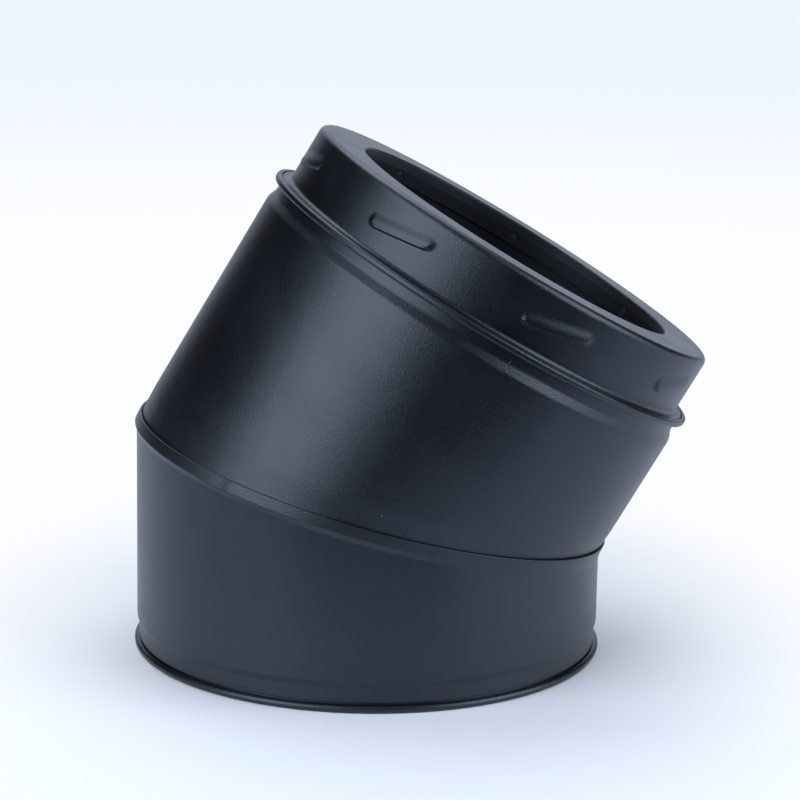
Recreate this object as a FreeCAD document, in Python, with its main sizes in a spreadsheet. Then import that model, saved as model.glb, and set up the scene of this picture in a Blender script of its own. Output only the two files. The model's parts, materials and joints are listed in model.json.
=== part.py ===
"""Insulated twin-wall flue elbow with two mitred gores and twist-lock ends, as a parametric document.

Frame: the origin is the centre of the female end's foot plane, +Z runs up the lower leg, and the upper leg
leans towards +X. Lengths are in millimetres, angles in degrees. The upper leg's pieces are drawn in their
own frame, with its origin where the two leg axes meet and its Z along the upper leg, and placed from there.
"""
import FreeCAD
import Part
import math
import os

import Sketcher

SIZES = (
    # the two legs
    ("bend_angle", 30.0, "angle between the two legs"),
    ("lower_leg", 71.5, "foot plane to the point where the leg axes meet"),
    ("upper_leg", 122.0, "that point to the male end face"),
    # sheet
    ("liner_bore", 75.0, "inside radius of the inner liner"),
    ("jacket_depth", 25.0, "liner's inside to the casing's outside"),
    ("casing_radius", "=liner_bore + jacket_depth", "outside radius of the outer casing"),
    ("casing_wall", 0.8, "casing sheet"),
    ("coupler_wall", 0.8, "coupler sheet"),
    ("liner_wall", 0.6, "liner sheet"),
    # mitre joint: the lower gore's rim laps over the upper gore
    ("rim_clearance", 0.2, "air between a rim and the gore it laps over"),
    ("rim_lap", 4.0, "rim above the mitre plane"),
    ("rim_drop", 2.4, "mitre plane down to the rim's shoulder"),
    ("shoulder_round", 0.8, "outer round of the shoulder"),
    # casing end at the male coupler
    ("neck_depth", 1.2, "how far the neck is drawn in"),
    ("neck_length", 2.4, "straight neck under the hem"),
    ("step_length", 6.4, "slope from the casing to the neck"),
    ("step_round", 12.0, "rounds at both ends of the slope"),
    ("hem_stand", 1.6, "how far the hem stands out from the casing"),
    ("hem_radius", "=casing_radius + hem_stand", "outside radius of the hem"),
    ("hem_lap", 2.9, "width of the leaf folded over the flange"),
    ("hem_slack", 0.6, "fullness of the fold over the flange"),
    ("fold_flat", 0.1, "straight left in the outer face of a fold"),
    ("flare_round", 0.5, "round where a neck turns out into its hem"),
    ("edge_gap", 0.1, "flange edge to the bend of its hem"),
    # casing end at the female coupler
    ("foot_stand", 1.1, "how far the foot bead stands out from the casing"),
    ("foot_radius", "=casing_radius + foot_stand", "outside radius of the foot bead"),
    ("foot_lap", 2.6, "width of the leaf folded under the flange"),
    ("foot_flange", 1.6, "doubled flange held in the foot bead"),
    ("foot_slack", 0.1, "fullness of the foot bead"),
    ("foot_neck_depth", 0.8, "how far the foot neck is drawn in"),
    ("foot_neck_length", 7.4, "straight neck above the bead"),
    ("foot_step", 1.4, "slope from the foot neck to the casing"),
    # twist-lock ramps
    ("ramp_count", 8, "ramps round each coupler"),
    ("ramp_length", 32.0, "length of a ramp round the coupler"),
    ("ramp_width", 6.6, "width of a ramp along the axis"),
    ("ramp_rise", 1.6, "how far a ramp stands out"),
    ("ramp_slope", 9.5, "lead of a ramp"),
    ("ramp_bearing", 10.0, "first ramp's bearing from the side the elbow leans to"),
    ("ramp_set_back", 11.8, "end face to the middle of a male ramp"),
    ("lock_play", 0.2, "play between the faces that lock"),
    # male coupler
    ("collar_inset", 4.5, "casing down to the collar"),
    ("collar_radius", "=casing_radius - collar_inset", "outside radius of the collar"),
    ("collar_height", 26.8, "hem to end face"),
    ("collar_round", 3.0, "outer edge of the end face"),
    ("flange_round", 1.5, "foot of the collar"),
    ("lip_clearance", 0.2, "air between the lip and the liner"),
    ("mouth_radius", "=liner_bore - coupler_wall - lip_clearance", "inside radius of the lip"),
    ("mouth_round", 3.0, "inner edge of the end face"),
    ("lip_depth", 10.0, "end face to the lip's edge"),
    # female coupler
    ("socket_play", 0.4, "play between a ramp and the wall it passes"),
    ("socket_radius", "=collar_radius + ramp_rise + socket_play", "inside radius of the socket wall"),
    ("socket_depth", 28.0, "foot plane to the web"),
    ("socket_round", 2.0, "inside corner of the socket"),
    ("sleeve_length", 12.0, "sleeve that holds the liner above the web"),
    ("sleeve_round", 3.0, "turn from the web into the sleeve"),
    ("sleeve_clearance", 0.1, "liner inside the sleeve"),
    # liner ends
    ("spigot_play", 0.4, "play between a spigot and the mouth it enters"),
    ("spigot_radius", "=mouth_radius - spigot_play", "outside radius of the liner's spigot"),
    ("spigot_length", 14.0, "spigot below the web"),
    ("taper_start", 2.0, "web up to the start of the spigot's taper"),
    ("taper_length", 4.0, "length of the taper"),
    ("liner_top_gap", 3.0, "liner's upper edge below the end face"),
    # welds
    ("weld_count", 7, "plug welds round each liner end"),
    ("weld_radius", 2.0, "radius of a plug weld"),
    ("weld_bearing", 30.3, "first weld's bearing from the side the elbow leans to"),
    ("weld_set_back", 6.4, "end face or sleeve edge to the welds"),
    ("weld_dimple", 0.3, "how far a weld lies under its sheet"),
    ("weld_root", 0.05, "weld root short of the liner's face"),
    ("seam_width", 1.2, "width of a casing seam weld"),
    ("seam_rise", 0.15, "crown of a casing seam weld"),
    ("upper_seam_bearing", -86.0, "bearing of the upper gore's seam"),
    ("lower_seam_bearing", 94.0, "bearing of the lower gore's seam"),
    # insulation
    ("wool_clearance", 0.3, "air round the mineral wool"),
)

document = FreeCAD.newDocument("FlueElbow")
sheet = document.addObject("Spreadsheet::Sheet", "Sizes")
for row, (alias, size, meaning) in enumerate(SIZES, start=1):  # a size may be a formula in earlier ones
    sheet.set(f"A{row}", meaning)
    sheet.set(f"B{row}", str(size))
    sheet.setAlias(f"B{row}", alias)
document.recompute()

# Every size below is a formula in the sheet's aliases.
HALF_BEND = "Sizes.bend_angle / 2"
REACH = "(Sizes.casing_radius + Sizes.rim_lap + Sizes.rim_drop) * (1 + tan(Sizes.bend_angle / 2 * 1 deg))"

HEM_THICKNESS = "(2 * Sizes.casing_wall + Sizes.coupler_wall + Sizes.hem_slack)"
HEM_TOP = "(Sizes.upper_leg - Sizes.collar_height)"
HEM_LOW = f"({HEM_TOP} - {HEM_THICKNESS})"
NECK_LOW = f"({HEM_LOW} - Sizes.neck_length)"
STEP_LOW = f"({NECK_LOW} - Sizes.step_length)"
NECK_RADIUS = "(Sizes.casing_radius - Sizes.neck_depth)"

FOOT_THICKNESS = "(2 * Sizes.casing_wall + Sizes.foot_flange + Sizes.foot_slack)"
FOOT_NECK_TOP = f"({FOOT_THICKNESS} + Sizes.foot_neck_length)"
FOOT_STEP_TOP = f"({FOOT_NECK_TOP} + Sizes.foot_step)"
FOOT_NECK_RADIUS = "(Sizes.casing_radius - Sizes.foot_neck_depth)"

CASING_BORE = "(Sizes.casing_radius - Sizes.casing_wall)"
CASING_RIM_BORE = "(Sizes.casing_radius + Sizes.rim_clearance)"
CASING_RIM_RADIUS = f"({CASING_RIM_BORE} + Sizes.casing_wall)"
LINER_RADIUS = "(Sizes.liner_bore + Sizes.liner_wall)"
LINER_RIM_BORE = f"({LINER_RADIUS} + Sizes.rim_clearance)"
LINER_RIM_RADIUS = f"({LINER_RIM_BORE} + Sizes.liner_wall)"
LINER_TOP = "(Sizes.upper_leg - Sizes.liner_top_gap)"
SLEEVE_BORE = f"({LINER_RADIUS} + Sizes.sleeve_clearance)"
SLEEVE_TOP = "(Sizes.socket_depth + Sizes.sleeve_length)"

WOOL_BORE = f"(max({SLEEVE_BORE} + Sizes.coupler_wall; {LINER_RIM_RADIUS}) + Sizes.wool_clearance)"
WOOL_RADIUS = f"({CASING_BORE} - Sizes.wool_clearance)"
WOOL_COLLAR_RADIUS = "(Sizes.collar_radius - Sizes.coupler_wall - Sizes.wool_clearance)"
WOOL_TOP = "(Sizes.upper_leg - Sizes.coupler_wall - max(Sizes.collar_round; Sizes.mouth_round))"

Y_AXIS = FreeCAD.Vector(0, 1, 0)
Z_AXIS = FreeCAD.Vector(0, 0, 1)


def value(text):
    """The number a formula stands for."""
    result = sheet.evalExpression(text)
    return float(getattr(result, "Value", result))


def bind(thing, **formulas):
    """Tie an object's properties to the sheet; a double underscore stands for a dot."""
    for name, text in formulas.items():
        thing.setExpression(name.replace("__", "."), text)


def place_on_upper_leg(thing):
    """Stand an object on the upper leg's own frame."""
    turn = FreeCAD.Rotation(Y_AXIS, value("Sizes.bend_angle"))
    thing.Placement = FreeCAD.Placement(FreeCAD.Vector(0, 0, value("Sizes.lower_leg")), turn)
    bind(thing, Placement__Base__z="Sizes.lower_leg", Placement__Rotation__Angle="Sizes.bend_angle")


def named(kind, name, **links):
    """A document object whose label is its name."""
    thing = document.addObject(kind, name)
    thing.Label = name
    for key, target in links.items():
        setattr(thing, key, target)
    return thing


def origin_part(body, role):
    """One of a body's own origin planes or axes."""
    return next(item for item in body.Origin.OriginFeatures if item.Role == role)


# --- sketches ---------------------------------------------------------------------------------------------

def pin_point(sketch, element, end, across, up):
    """Hold a sketch point at two formulas, measured from the sketch's origin."""
    for kind, axis, text in (("DistanceX", -2, across), ("DistanceY", -1, up)):
        distance = value(text)
        if text == "0":
            sketch.addConstraint(Sketcher.Constraint("PointOnObject", element, end, axis))
        elif distance > 0:
            number = sketch.addConstraint(Sketcher.Constraint(kind, -1, 1, element, end, distance))
            sketch.setExpression(f"Constraints[{number}]", text)
        else:
            number = sketch.addConstraint(Sketcher.Constraint(kind, element, end, -1, 1, -distance))
            sketch.setExpression(f"Constraints[{number}]", f"-({text})")


def new_sketch(body, name, role="XZ_Plane"):
    """A sketch on one of the body's own origin planes."""
    sketch = body.newObject("Sketcher::SketchObject", name)
    sketch.AttachmentSupport = [(origin_part(body, role), "")]
    sketch.MapMode = "FlatFace"
    return sketch


def outline(body, name, corners):
    """Closed outline through corners of (across, up) or (across, up, round), each a formula."""
    sketch = new_sketch(body, name)
    count = len(corners)
    points = [FreeCAD.Vector(value(corner[0]), value(corner[1]), 0) for corner in corners]
    rounds = [value(corner[2]) if len(corner) > 2 else 0.0 for corner in corners]
    entries, exits, turns = [], [], []
    for number, point in enumerate(points):
        inward = (point - points[number - 1]).normalize()
        outward = (points[(number + 1) % count] - point).normalize()
        turn = math.atan2(inward.x * outward.y - inward.y * outward.x, inward.dot(outward))
        setback = rounds[number] * math.tan(abs(turn) / 2)
        entries.append(point - inward * setback)
        exits.append(point + outward * setback)
        turns.append((turn, inward))
    for number in range(count):
        sketch.addGeometry(Part.LineSegment(exits[number], entries[(number + 1) % count]), False)
    for number, corner in enumerate(corners):
        before = (number - 1) % count
        if not rounds[number]:
            sketch.addConstraint(Sketcher.Constraint("Coincident", before, 2, number, 1))
            pin_point(sketch, number, 1, corner[0], corner[1])
            continue
        turn, inward = turns[number]
        side = 1 if turn > 0 else -1
        centre = entries[number] + FreeCAD.Vector(-inward.y, inward.x, 0) * side * rounds[number]
        first, last = (entries[number], exits[number]) if side > 0 else (exits[number], entries[number])
        angles = [math.atan2(end.y - centre.y, end.x - centre.x) for end in (first, last)]
        circle = Part.Circle(centre, Z_AXIS, rounds[number])
        arc = sketch.addGeometry(Part.ArcOfCircle(circle, *angles), False)
        mark = sketch.addGeometry(Part.Point(points[number]), True)
        sketch.addConstraint(Sketcher.Constraint("Tangent", before, 2, arc, 1 if side > 0 else 2))
        sketch.addConstraint(Sketcher.Constraint("Tangent", number, 1, arc, 2 if side > 0 else 1))
        sketch.addConstraint(Sketcher.Constraint("PointOnObject", mark, 1, before))
        sketch.addConstraint(Sketcher.Constraint("PointOnObject", mark, 1, number))
        pin_point(sketch, mark, 1, corner[0], corner[1])
        size = sketch.addConstraint(Sketcher.Constraint("Radius", arc, rounds[number]))
        sketch.setExpression(f"Constraints[{size}]", corner[2])
    return sketch


def revolve(body, kind, name, corners):
    """Turn an outline a full circle about the body's Z axis, as a Revolution or a Groove."""
    sketch = outline(body, name + "Outline", corners)
    feature = body.newObject(kind, name)
    feature.Profile = sketch
    feature.ReferenceAxis = (origin_part(body, "Z_Axis"), [""])
    feature.Angle = 360.0
    sketch.Visibility = False
    return feature


def turned_body(name, corners):
    """A sheet or block turned from one outline."""
    body = named("PartDesign::Body", name)
    revolve(body, "PartDesign::Revolution", name + "Turned", corners)
    return body


# --- primitives -------------------------------------------------------------------------------------------

def cylinder(name, radius, low, high):
    """Cylinder about Z between two heights."""
    thing = named("Part::Cylinder", name)
    bind(thing, Radius=radius, Height=f"({high}) - ({low})", Placement__Base__z=low)
    return thing


def tube(name, bore, radius, low, high):
    """Tube about Z between two heights, in its own frame."""
    outside = cylinder(name + "Outside", radius, low, high)
    inside = cylinder(name + "Inside", bore, low, high)
    return named("Part::Cut", name, Base=outside, Tool=inside)


def mitre_slab(name, low, high):
    """Wide slab parallel to the mitre plane, between two offsets from it."""
    slab = named("Part::Box", name)
    slab.Placement = FreeCAD.Placement(FreeCAD.Vector(), FreeCAD.Rotation(Y_AXIS, value(HALF_BEND)))
    half = f"({HALF_BEND}) * 1 deg"
    bind(
        slab,
        Length=f"2 * {REACH}",
        Width=f"2 * {REACH}",
        Height=f"({high}) - ({low})",
        Placement__Base__x=f"({low}) * sin({half}) - {REACH} * cos({half})",
        Placement__Base__y=f"-({REACH})",
        Placement__Base__z=f"Sizes.lower_leg + ({low}) * cos({half}) + {REACH} * sin({half})",
        Placement__Rotation__Angle=HALF_BEND,
    )
    return slab


def cut_to_slab(name, thing, low, high):
    """Keep the part of an object between two offsets from the mitre plane."""
    slab = mitre_slab(name + "Slab", low, high)
    return named("Part::Common", name, Base=thing, Tool=slab)


def radial_block(name, bearing, bore, radius, width, low, high):
    """Block that stands across a wall at one bearing, in its leg's own frame."""
    block = named("Part::Box", name)
    turn = FreeCAD.Rotation(Z_AXIS, value(bearing))
    block.Placement = FreeCAD.Placement(FreeCAD.Vector(), turn)
    angle = f"({bearing}) * 1 deg"
    bind(
        block,
        Length=f"({radius}) - ({bore})",
        Width=width,
        Height=f"({high}) - ({low})",
        Placement__Base__x=f"({bore}) * cos({angle}) + ({width}) / 2 * sin({angle})",
        Placement__Base__y=f"({bore}) * sin({angle}) - ({width}) / 2 * cos({angle})",
        Placement__Base__z=low,
    )
    return block


# --- gores ------------------------------------------------------------------------------------------------

def lapped_gore(name, gore, bore, radius, rim_bore, rim_radius, wall):
    """Lower gore whose rim is expanded at the mitre and laps over the upper gore."""
    below = "-(Sizes.rim_drop)"
    shoulder_low = f"-(Sizes.rim_drop + {wall})"
    far_low = f"-({REACH})"
    top = f"Sizes.lower_leg + {REACH}"
    wall_part = cut_to_slab(name + "Wall", gore, f"-(Sizes.lower_leg + {REACH})", below)
    shoulder = cut_to_slab(name + "Shoulder", tube(name + "ShoulderTube", bore, rim_radius, "0", top),
                           shoulder_low, below)
    rim_below = cut_to_slab(name + "RimBelow", tube(name + "RimBelowTube", rim_bore, rim_radius, "0", top),
                            shoulder_low, "0")
    upper_tube = tube(name + "RimAboveTube", rim_bore, rim_radius, far_low, REACH)
    place_on_upper_leg(upper_tube)
    rim_above = cut_to_slab(name + "RimAbove", upper_tube, "0", "Sizes.rim_lap")
    return named("Part::MultiFuse", name, Shapes=[wall_part, shoulder, rim_below, rim_above])


def round_shoulder(name, gore, radius, rim_radius, wall):
    """Round the outer edge of a lapped gore's shoulder."""
    document.recompute()
    half = math.radians(value(HALF_BEND))
    normal = FreeCAD.Vector(math.sin(half), 0, math.cos(half))
    centre = FreeCAD.Vector(0, 0, value("Sizes.lower_leg"))
    depth = -value(f"Sizes.rim_drop + {wall}")
    rim = value(rim_radius)
    chosen = []
    for number, edge in enumerate(gore.Shape.Edges, start=1):
        samples = edge.discretize(9)
        on_plane = all(abs((point - centre).dot(normal) - depth) < 1e-4 for point in samples)
        on_rim = all(abs(math.hypot(point.x, point.y) - rim) < 1e-4 for point in samples)
        if on_plane and on_rim:
            chosen.append(number)
    if not chosen:
        raise RuntimeError(f"{name}: the shoulder's edge is missing")
    size = min(value("Sizes.shoulder_round"), 0.7 * (rim - value(radius)))
    rounded = named("Part::Fillet", name, Base=gore)
    rounded.Edges = [(number, size, size) for number in chosen]
    return rounded


def casing_upper_outline():
    wall = "Sizes.casing_wall"
    outer_round = f"({HEM_THICKNESS} - Sizes.fold_flat) / 2"
    inner_round = f"({HEM_THICKNESS} - 2 * {wall} - Sizes.fold_flat) / 2"
    far_low = f"-({REACH})"
    return [
        ("Sizes.casing_radius", far_low),
        ("Sizes.casing_radius", STEP_LOW, "Sizes.step_round"),
        (NECK_RADIUS, NECK_LOW, "Sizes.step_round"),
        (NECK_RADIUS, HEM_LOW, "Sizes.flare_round"),
        ("Sizes.hem_radius", HEM_LOW, outer_round),
        ("Sizes.hem_radius", HEM_TOP, outer_round),
        ("Sizes.hem_radius - Sizes.hem_lap", HEM_TOP),
        ("Sizes.hem_radius - Sizes.hem_lap", f"{HEM_TOP} - {wall}"),
        (f"Sizes.hem_radius - {wall}", f"{HEM_TOP} - {wall}", inner_round),
        (f"Sizes.hem_radius - {wall}", f"{HEM_LOW} + {wall}", inner_round),
        (f"{NECK_RADIUS} - {wall}", f"{HEM_LOW} + {wall}", f"Sizes.flare_round + {wall}"),
        (f"{NECK_RADIUS} - {wall}", NECK_LOW, "Sizes.step_round"),
        (CASING_BORE, STEP_LOW, "Sizes.step_round"),
        (CASING_BORE, far_low),
    ]


def casing_lower_outline():
    wall = "Sizes.casing_wall"
    outer_round = f"({FOOT_THICKNESS} - Sizes.fold_flat) / 2"
    inner_round = f"({FOOT_THICKNESS} - 2 * {wall} - Sizes.fold_flat) / 2"
    top = f"Sizes.lower_leg + {REACH}"
    return [
        ("Sizes.foot_radius - Sizes.foot_lap", "0"),
        ("Sizes.foot_radius", "0", outer_round),
        ("Sizes.foot_radius", FOOT_THICKNESS, outer_round),
        (FOOT_NECK_RADIUS, FOOT_THICKNESS, "Sizes.flare_round"),
        (FOOT_NECK_RADIUS, FOOT_NECK_TOP),
        ("Sizes.casing_radius", FOOT_STEP_TOP),
        ("Sizes.casing_radius", top),
        (CASING_BORE, top),
        (CASING_BORE, FOOT_STEP_TOP),
        (f"{FOOT_NECK_RADIUS} - {wall}", FOOT_NECK_TOP),
        (f"{FOOT_NECK_RADIUS} - {wall}", f"{FOOT_THICKNESS} - {wall}", f"Sizes.flare_round + {wall}"),
        (f"Sizes.foot_radius - {wall}", f"{FOOT_THICKNESS} - {wall}", inner_round),
        (f"Sizes.foot_radius - {wall}", wall, inner_round),
        ("Sizes.foot_radius - Sizes.foot_lap", wall),
    ]


def liner_lower_outline():
    spigot_low = "Sizes.socket_depth - Sizes.spigot_length"
    taper_low = "Sizes.socket_depth + Sizes.taper_start"
    taper_high = f"{taper_low} + Sizes.taper_length"
    top = f"Sizes.lower_leg + {REACH}"
    return [
        ("Sizes.spigot_radius", spigot_low),
        ("Sizes.spigot_radius", taper_low),
        (LINER_RADIUS, taper_high),
        (LINER_RADIUS, top),
        ("Sizes.liner_bore", top),
        ("Sizes.liner_bore", taper_high),
        ("Sizes.spigot_radius - Sizes.liner_wall", taper_low),
        ("Sizes.spigot_radius - Sizes.liner_wall", spigot_low),
    ]


# --- couplers ---------------------------------------------------------------------------------------------

def male_coupler_outline():
    wall = "Sizes.coupler_wall"
    flange_low = f"{HEM_LOW} + Sizes.casing_wall"
    flange_radius = f"Sizes.hem_radius - {HEM_THICKNESS} / 2 - Sizes.edge_gap"
    lip_edge = "Sizes.upper_leg - Sizes.lip_depth"
    return [
        (flange_radius, flange_low),
        (flange_radius, f"{flange_low} + {wall}"),
        ("Sizes.collar_radius", f"{flange_low} + {wall}", "Sizes.flange_round"),
        ("Sizes.collar_radius", "Sizes.upper_leg", "Sizes.collar_round"),
        ("Sizes.mouth_radius", "Sizes.upper_leg", "Sizes.mouth_round"),
        ("Sizes.mouth_radius", lip_edge),
        (f"Sizes.mouth_radius + {wall}", lip_edge),
        (f"Sizes.mouth_radius + {wall}", f"Sizes.upper_leg - {wall}", f"Sizes.mouth_round - {wall}"),
        (f"Sizes.collar_radius - {wall}", f"Sizes.upper_leg - {wall}", f"Sizes.collar_round - {wall}"),
        (f"Sizes.collar_radius - {wall}", flange_low, f"Sizes.flange_round + {wall}"),
    ]


def female_coupler_outline():
    wall = "Sizes.coupler_wall"
    flange_radius = f"Sizes.foot_radius - {FOOT_THICKNESS} / 2 - Sizes.edge_gap"
    flange_top = "Sizes.casing_wall + Sizes.foot_flange"
    web_top = f"Sizes.socket_depth + {wall}"
    return [
        (flange_radius, "Sizes.casing_wall"),
        (flange_radius, flange_top),
        (f"Sizes.socket_radius + {wall}", flange_top),
        (f"Sizes.socket_radius + {wall}", web_top, f"Sizes.socket_round + {wall}"),
        (f"{SLEEVE_BORE} + {wall}", web_top, f"Sizes.sleeve_round - {wall}"),
        (f"{SLEEVE_BORE} + {wall}", SLEEVE_TOP),
        (SLEEVE_BORE, SLEEVE_TOP),
        (SLEEVE_BORE, "Sizes.socket_depth", "Sizes.sleeve_round"),
        ("Sizes.socket_radius", "Sizes.socket_depth", "Sizes.socket_round"),
        ("Sizes.socket_radius", "Sizes.casing_wall", "Sizes.flare_round"),
    ]


def slot_sketch(body, name, height):
    """Round-ended slot, turned by the ramp's lead, on a plane across the body's X axis."""
    sketch = new_sketch(body, name, "YZ_Plane")
    end_round = value("Sizes.ramp_width / 2")
    half = value("(Sizes.ramp_length - Sizes.ramp_width) / 2")
    lead = math.radians(value("Sizes.ramp_slope"))
    along = FreeCAD.Vector(math.cos(lead), math.sin(lead), 0)
    across = FreeCAD.Vector(-math.sin(lead), math.cos(lead), 0) * end_round
    middle = FreeCAD.Vector(0, value(height), 0)
    left, right = middle - along * half, middle + along * half
    sketch.addGeometry(Part.LineSegment(left - across, right - across), False)
    sketch.addGeometry(Part.ArcOfCircle(Part.Circle(right, Z_AXIS, end_round),
                                        lead - math.pi / 2, lead + math.pi / 2), False)
    sketch.addGeometry(Part.LineSegment(right + across, left + across), False)
    sketch.addGeometry(Part.ArcOfCircle(Part.Circle(left, Z_AXIS, end_round),
                                        lead + math.pi / 2, lead + 3 * math.pi / 2), False)
    for line, arc in ((0, 1), (2, 3)):
        sketch.addConstraint(Sketcher.Constraint("Tangent", line, 2, arc, 1))
        sketch.addConstraint(Sketcher.Constraint("Tangent", arc, 2, 2 - line, 1))
    sketch.addConstraint(Sketcher.Constraint("Equal", 1, 3))
    size = sketch.addConstraint(Sketcher.Constraint("Radius", 1, end_round))
    sketch.setExpression(f"Constraints[{size}]", "Sizes.ramp_width / 2")
    lead_sine = "sin(Sizes.ramp_slope * 1 deg)"
    lead_cosine = "cos(Sizes.ramp_slope * 1 deg)"
    reach = "(Sizes.ramp_length - Sizes.ramp_width) / 2"
    pin_point(sketch, 1, 3, f"{reach} * {lead_cosine}", f"{height} + {reach} * {lead_sine}")
    pin_point(sketch, 3, 3, f"-({reach} * {lead_cosine})", f"{height} - {reach} * {lead_sine}")
    return sketch


def stand_off(sketch, standing, bearing):
    """Move a sketch on the YZ plane out along X and round the Z axis."""
    turn = FreeCAD.Rotation(Y_AXIS, value(bearing))
    sketch.AttachmentOffset = FreeCAD.Placement(FreeCAD.Vector(), turn)
    angle = f"({bearing}) * 1 deg"
    bind(
        sketch,
        AttachmentOffset__Base__x=f"({standing}) * sin({angle})",
        AttachmentOffset__Base__z=f"({standing}) * cos({angle})",
        AttachmentOffset__Rotation__Angle=bearing,
    )


def polar_copies(body, name, feature, count):
    """Repeat a feature round the body's Z axis; the pattern becomes the body's tip."""
    pattern = body.newObject("PartDesign::PolarPattern", name)
    pattern.Originals = [feature]
    pattern.Axis = (origin_part(body, "Z_Axis"), [""])
    pattern.Angle = 360.0
    pattern.Occurrences = int(value(count))
    bind(pattern, Occurrences=count)
    body.Tip = pattern
    return pattern


def add_ramps(body, height, inner, outer):
    """Inclined locking ramps between two radii, repeated round the coupler."""
    name = body.Name + "Ramp"
    standing = f"({inner}) - Sizes.ramp_rise"
    sketch = slot_sketch(body, name + "Slot", height)
    stand_off(sketch, standing, "Sizes.ramp_bearing")
    pad = body.newObject("PartDesign::Pad", name)
    pad.Profile = sketch
    bind(pad, Length=f"({outer}) - ({standing}) + Sizes.ramp_rise")
    document.recompute()
    polar_copies(body, name + "s", pad, "Sizes.ramp_count")
    spread = "(Sizes.ramp_width + Sizes.ramp_length * sin(Sizes.ramp_slope * 1 deg)) / 2"
    low, high = f"{height} - {spread}", f"{height} + {spread}"
    trim = "Sizes.ramp_length / 4"
    for side, near, far in (("Outer", outer, f"{outer} + {trim}"), ("Inner", f"{inner} - {trim}", inner)):
        corners = [(near, low), (far, low), (far, high), (near, high)]
        revolve(body, "PartDesign::Groove", name + side + "Trim", corners)


def add_weld_holes(body, height, standing):
    """Radial holes for the plug welds, cut outwards through one sheet."""
    name = body.Name + "WeldHole"
    sketch = new_sketch(body, name + "Circle", "YZ_Plane")
    middle = FreeCAD.Vector(0, value(height), 0)
    sketch.addGeometry(Part.Circle(middle, Z_AXIS, value("Sizes.weld_radius")), False)
    pin_point(sketch, 0, 3, "0", height)
    size = sketch.addConstraint(Sketcher.Constraint("Radius", 0, value("Sizes.weld_radius")))
    sketch.setExpression(f"Constraints[{size}]", "Sizes.weld_radius")
    stand_off(sketch, standing, "Sizes.weld_bearing")
    hole = body.newObject("PartDesign::Pocket", name)
    hole.Profile = sketch
    hole.Reversed = True
    bind(hole, Length="3 * Sizes.coupler_wall")
    document.recompute()
    polar_copies(body, name + "s", hole, "Sizes.weld_count")


def weld_group(name, height, root, length, inward):
    """Plug welds round a liner end, each a short radial stub in its hole."""
    stubs = []
    count = int(value("Sizes.weld_count"))
    for number in range(count):
        bearing = f"(Sizes.weld_bearing + 360 * {number} / Sizes.weld_count)"
        stub = named("Part::Cylinder", f"{name}_{number + 1}")
        outward = FreeCAD.Rotation(Z_AXIS, value(bearing)) * FreeCAD.Rotation(Y_AXIS, 90)
        stub.Placement = FreeCAD.Placement(FreeCAD.Vector(), outward)
        start = f"({root}) - ({length})" if inward else root
        bind(
            stub,
            Radius="Sizes.weld_radius",
            Height=length,
            Placement__Base__x=f"({start}) * cos({bearing} * 1 deg)",
            Placement__Base__y=f"({start}) * sin({bearing} * 1 deg)",
            Placement__Base__z=height,
        )
        stubs.append(stub)
    return named("Part::Compound", name, Links=stubs)


def casing_seam(name, bearing, low, high):
    """The block that parts a casing along its seam, and the weld bead that closes it."""
    bore = f"{CASING_BORE} - Sizes.casing_wall"
    radius = "Sizes.casing_radius + Sizes.casing_wall"
    slit = radial_block(name + "Slit", bearing, bore, radius, "Sizes.seam_width", low, high)
    crown = tube(name + "Ring", CASING_BORE, "Sizes.casing_radius + Sizes.seam_rise", low, high)
    return slit, named("Part::Common", name + "Bead", Base=crown, Tool=slit)


# --- the sub-parts ----------------------------------------------------------------------------------------

FAR_LOW = f"-({REACH})"
DEEP_BELOW = f"-(Sizes.lower_leg + {REACH})"
FAR_ABOVE = f"Sizes.upper_leg + {REACH}"
SHOULDER_BASE = "-(Sizes.rim_drop + Sizes.casing_wall)"


def make_outer_casing_lower():
    """Lower gore of the casing with its foot bead, its lapped rim and its seam weld."""
    top = f"Sizes.lower_leg + {REACH}"
    slit, bead = casing_seam("LowerSeam", "Sizes.lower_seam_bearing", FOOT_STEP_TOP, top)
    profile = turned_body("CasingLowerSheet", casing_lower_outline())
    parted = named("Part::Cut", "CasingLowerParted", Base=profile, Tool=slit)
    lapped = lapped_gore("CasingLowerLapped", parted, CASING_BORE, "Sizes.casing_radius",
                         CASING_RIM_BORE, CASING_RIM_RADIUS, "Sizes.casing_wall")
    gore = round_shoulder("outer_casing_lower", lapped, "Sizes.casing_radius", CASING_RIM_RADIUS,
                          "Sizes.casing_wall")
    seam = cut_to_slab("casing_seam_lower", bead, DEEP_BELOW, SHOULDER_BASE)
    return [gore, seam]


def make_outer_casing_upper():
    """Upper gore of the casing with its neck, its hem and its seam weld."""
    slit, bead = casing_seam("UpperSeam", "Sizes.upper_seam_bearing", FAR_LOW, STEP_LOW)
    profile = turned_body("CasingUpperSheet", casing_upper_outline())
    parted = named("Part::Cut", "CasingUpperParted", Base=profile, Tool=slit)
    for thing in (parted, bead):
        place_on_upper_leg(thing)
    gore = cut_to_slab("outer_casing_upper", parted, "0", FAR_ABOVE)
    seam = cut_to_slab("casing_seam_upper", bead, "0", FAR_ABOVE)
    return [gore, seam]


def make_liner_lower():
    """Lower gore of the liner with its spigot and its lapped rim."""
    profile = turned_body("LinerLowerSheet", liner_lower_outline())
    lapped = lapped_gore("LinerLowerLapped", profile, "Sizes.liner_bore", LINER_RADIUS,
                         LINER_RIM_BORE, LINER_RIM_RADIUS, "Sizes.liner_wall")
    return [round_shoulder("liner_lower", lapped, LINER_RADIUS, LINER_RIM_RADIUS, "Sizes.liner_wall")]


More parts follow.
